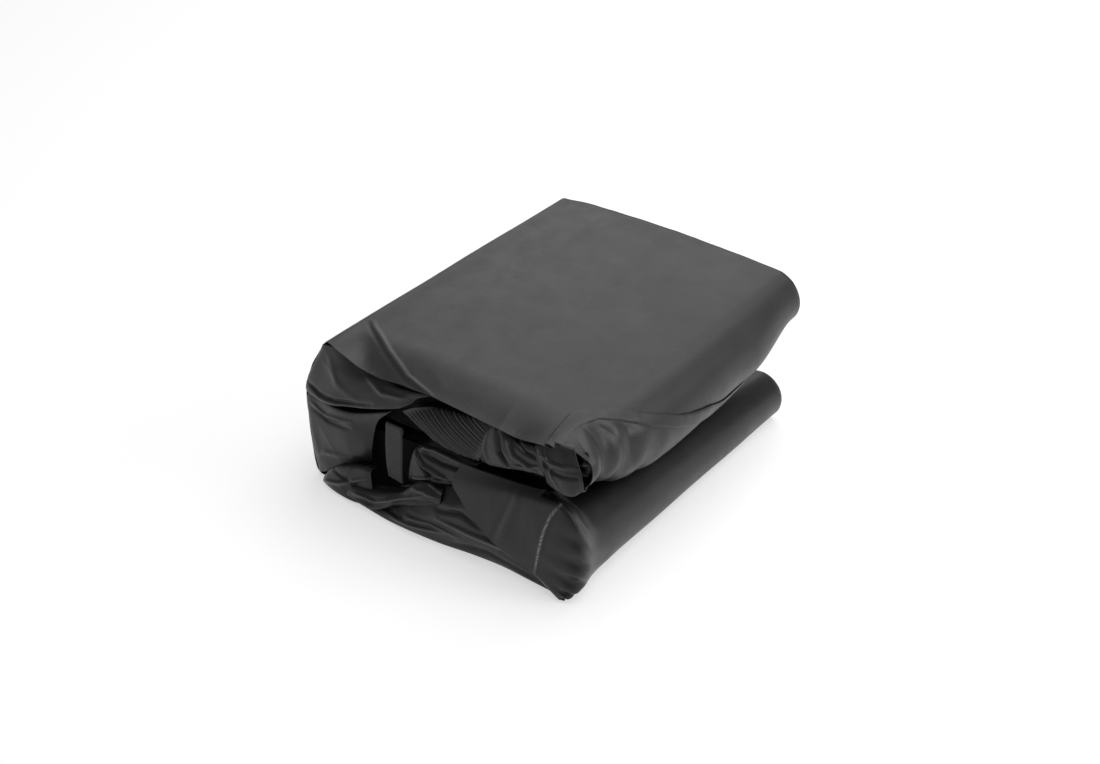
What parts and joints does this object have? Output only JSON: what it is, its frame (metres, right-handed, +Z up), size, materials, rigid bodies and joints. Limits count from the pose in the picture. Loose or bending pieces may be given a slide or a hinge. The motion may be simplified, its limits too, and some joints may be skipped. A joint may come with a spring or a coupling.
{
  "type": "folded spa cover",
  "caption": "Soft leatherette spa cover folded like a book for storage, with a hinged upper half, tucked skirt and hem, tie-down webbing and side-release buckle inserts.",
  "frame": {"origin": "bottom centre of the folded bundle's bounding box", "axes": "+X towards the rolled edges, -X the spine crease, -Y the open front end, +Y the rear end, +Z up"},
  "size_m": [0.3974, 0.465, 0.1989],
  "materials": {
    "leatherette": "fine-grained satin synthetic leather, dark grey",
    "lining": "matt woven backing, dark grey",
    "elastic_hem": "elastic-gathered hem, dark grey",
    "webbing": "woven polypropylene webbing, dark grey",
    "acetal": "moulded, lightly textured, black"
  },
  "bodies": {
    "lower_half": {"top_panel_lower": "leatherette", "lining_fold_lower": "lining", "skirt_fold_lower": "leatherette", "front_flap_lower": "leatherette", "front_hem_lower": "elastic_hem", "middle_fold_lower": "leatherette", "corner_fold_lower": "leatherette", "spine_tuck_lower": "leatherette", "rear_tuck_lower": "leatherette", "strap_patch_rear": "leatherette"},
    "upper_half": {"top_panel_upper": "leatherette", "lining_fold_upper": "lining", "skirt_fold_upper": "leatherette", "seam_welt_upper": "leatherette", "spine_tuck_upper": "leatherette", "gathered_hem_upper": "elastic_hem", "hem_cuff_upper": "leatherette", "rear_tuck_upper": "leatherette"},
    "front_tail": {"strap_tail_front": "webbing"},
    "webbing_front": {"strap_front": "webbing"},
    "frame_front": {"buckle_front_frame": "acetal"},
    "prong_front_left": {"buckle_front_prong_left": "acetal"},
    "prong_front_right": {"buckle_front_prong_right": "acetal"},
    "webbing_left": {"strap_left": "webbing"},
    "frame_left": {"buckle_left_frame": "acetal"},
    "prong_left_left": {"buckle_left_prong_left": "acetal"},
    "prong_left_right": {"buckle_left_prong_right": "acetal"},
    "webbing_spine": {"strap_spine": "webbing"},
    "frame_spine": {"buckle_spine_frame": "acetal"},
    "prong_spine_left": {"buckle_spine_prong_left": "acetal"},
    "prong_spine_right": {"buckle_spine_prong_right": "acetal"},
    "webbing_rear": {"strap_rear": "webbing"},
    "frame_rear": {"buckle_rear_frame": "acetal"},
    "prong_rear_left": {"buckle_rear_prong_left": "acetal"},
    "prong_rear_right": {"buckle_rear_prong_right": "acetal"}
  },
  "joints": [
    {"name": "unfold", "type": "hinge", "parent": "lower_half", "child": "upper_half", "pos_m": [-0.1987, 0, 0.0937], "axis": [0, -1, 0], "range_deg": [0, 177]},
    {"name": "front_tail_lean", "type": "hinge", "parent": "lower_half", "child": "front_tail", "pos_m": [-0.064, -0.21, 0.047], "axis": [1, 0, 0], "range_deg": [0, 70], "stiffness_Nm_per_rad": 0.02},
    {"name": "front_strap_lift", "type": "hinge", "parent": "lower_half", "child": "webbing_front", "pos_m": [-0.064, -0.18, 0.0822], "axis": [1, 0, 0], "range_deg": [0, 6]},
    {"name": "front_buckle_swivel", "type": "hinge", "parent": "webbing_front", "child": "frame_front", "pos_m": [-0.064, -0.07, 0.08395], "axis": [1, 0, 0], "range_deg": [0, 10]},
    {"name": "front_prong_left_flex", "type": "hinge", "parent": "frame_front", "child": "prong_front_left", "pos_m": [-0.07625, -0.05835, 0.08395], "axis": [0, 0, -1], "range_deg": [0, 7], "stiffness_Nm_per_rad": 0.6},
    {"name": "front_prong_right_flex", "type": "hinge", "parent": "frame_front", "child": "prong_front_right", "pos_m": [-0.05175, -0.05835, 0.08395], "axis": [0, 0, 1], "range_deg": [0, 7], "stiffness_Nm_per_rad": 0.6},
    {"name": "left_strap_lift", "type": "hinge", "parent": "lower_half", "child": "webbing_left", "pos_m": [-0.112, 0.15, 0.0822], "axis": [-1, 0, 0], "range_deg": [0, 6]},
    {"name": "left_buckle_swivel", "type": "hinge", "parent": "webbing_left", "child": "frame_left", "pos_m": [-0.112, 0.02, 0.08395], "axis": [-1, 0, 0], "range_deg": [0, 10]},
    {"name": "left_prong_left_flex", "type": "hinge", "parent": "frame_left", "child": "prong_left_left", "pos_m": [-0.09975, 0.00835, 0.08395], "axis": [0, 0, -1], "range_deg": [0, 7], "stiffness_Nm_per_rad": 0.6},
    {"name": "left_prong_right_flex", "type": "hinge", "parent": "frame_left", "child": "prong_left_right", "pos_m": [-0.12425, 0.00835, 0.08395], "axis": [0, 0, 1], "range_deg": [0, 7], "stiffness_Nm_per_rad": 0.6},
    {"name": "spine_strap_lift", "type": "hinge", "parent": "lower_half", "child": "webbing_spine", "pos_m": [-0.16, 0.06, 0.0822], "axis": [-1, 0, 0], "range_deg": [0, 6]},
    {"name": "spine_buckle_swivel", "type": "hinge", "parent": "webbing_spine", "child": "frame_spine", "pos_m": [-0.16, -0.08, 0.08395], "axis": [-1, 0, 0], "range_deg": [0, 10]},
    {"name": "spine_prong_left_flex", "type": "hinge", "parent": "frame_spine", "child": "prong_spine_left", "pos_m": [-0.14775, -0.09165, 0.08395], "axis": [0, 0, -1], "range_deg": [0, 7], "stiffness_Nm_per_rad": 0.6},
    {"name": "spine_prong_right_flex", "type": "hinge", "parent": "frame_spine", "child": "prong_spine_right", "pos_m": [-0.17225, -0.09165, 0.08395], "axis": [0, 0, 1], "range_deg": [0, 7], "stiffness_Nm_per_rad": 0.6},
    {"name": "rear_strap_swing", "type": "hinge", "parent": "lower_half", "child": "webbing_rear", "pos_m": [-0.1, 0.228, 0.079], "axis": [1, 0, 0], "range_deg": [0, 120]},
    {"name": "rear_buckle_swivel", "type": "hinge", "parent": "webbing_rear", "child": "frame_rear", "pos_m": [-0.1, 0.22975, 0.04225], "axis": [1, 0, 0], "range_deg": [0, 90]},
    {"name": "rear_prong_left_flex", "type": "hinge", "parent": "frame_rear", "child": "prong_rear_left", "pos_m": [-0.11225, 0.22975, 0.0306], "axis": [0, -1, 0], "range_deg": [0, 7], "stiffness_Nm_per_rad": 0.6},
    {"name": "rear_prong_right_flex", "type": "hinge", "parent": "frame_rear", "child": "prong_rear_right", "pos_m": [-0.08775, 0.22975, 0.0306], "axis": [0, 1, 0], "range_deg": [0, 7], "stiffness_Nm_per_rad": 0.6}
  ]
}
